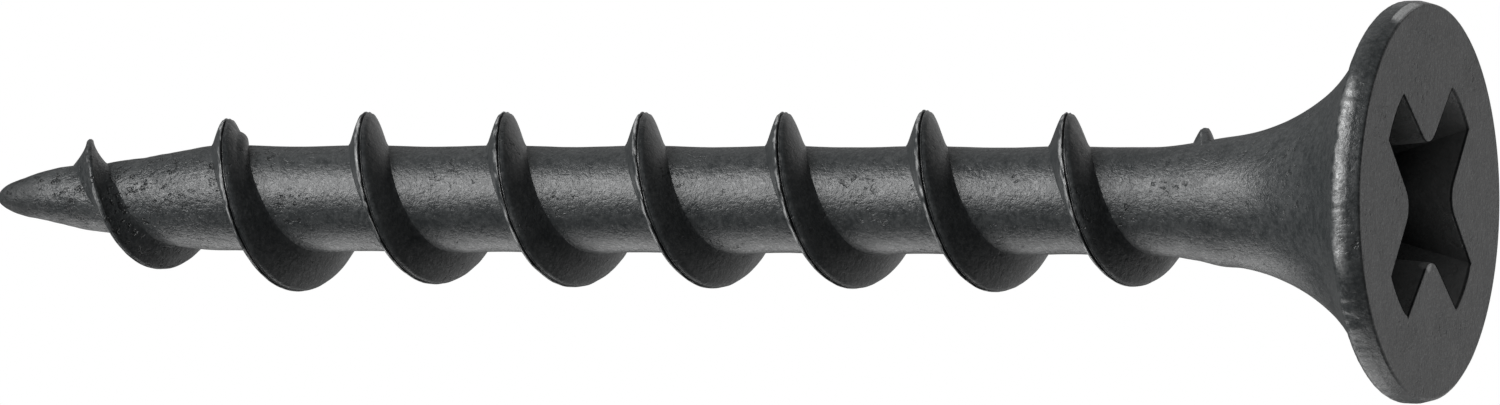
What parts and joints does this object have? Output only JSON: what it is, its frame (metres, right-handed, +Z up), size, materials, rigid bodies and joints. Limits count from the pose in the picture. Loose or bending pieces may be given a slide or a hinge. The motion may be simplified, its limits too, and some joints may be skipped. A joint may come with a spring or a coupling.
{
  "type": "wood screw",
  "caption": "Coarse-thread wood screw with a flat bugle head, cross recess, cylindrical core and tapered point.",
  "frame": {"origin": "centre of the flat head face", "axes": "+X runs along the screw's axis out of the head face, towards the driver, and the point is at -X; +Z is up with the screw lying on its side"},
  "size_m": [0.032, 0.0082, 0.0082],
  "materials": {
    "phosphated_steel": "matte"
  },
  "bodies": {
    "root": {"head": "phosphated_steel", "shank": "phosphated_steel", "thread": "phosphated_steel", "point": "phosphated_steel"}
  },
  "joints": []
}
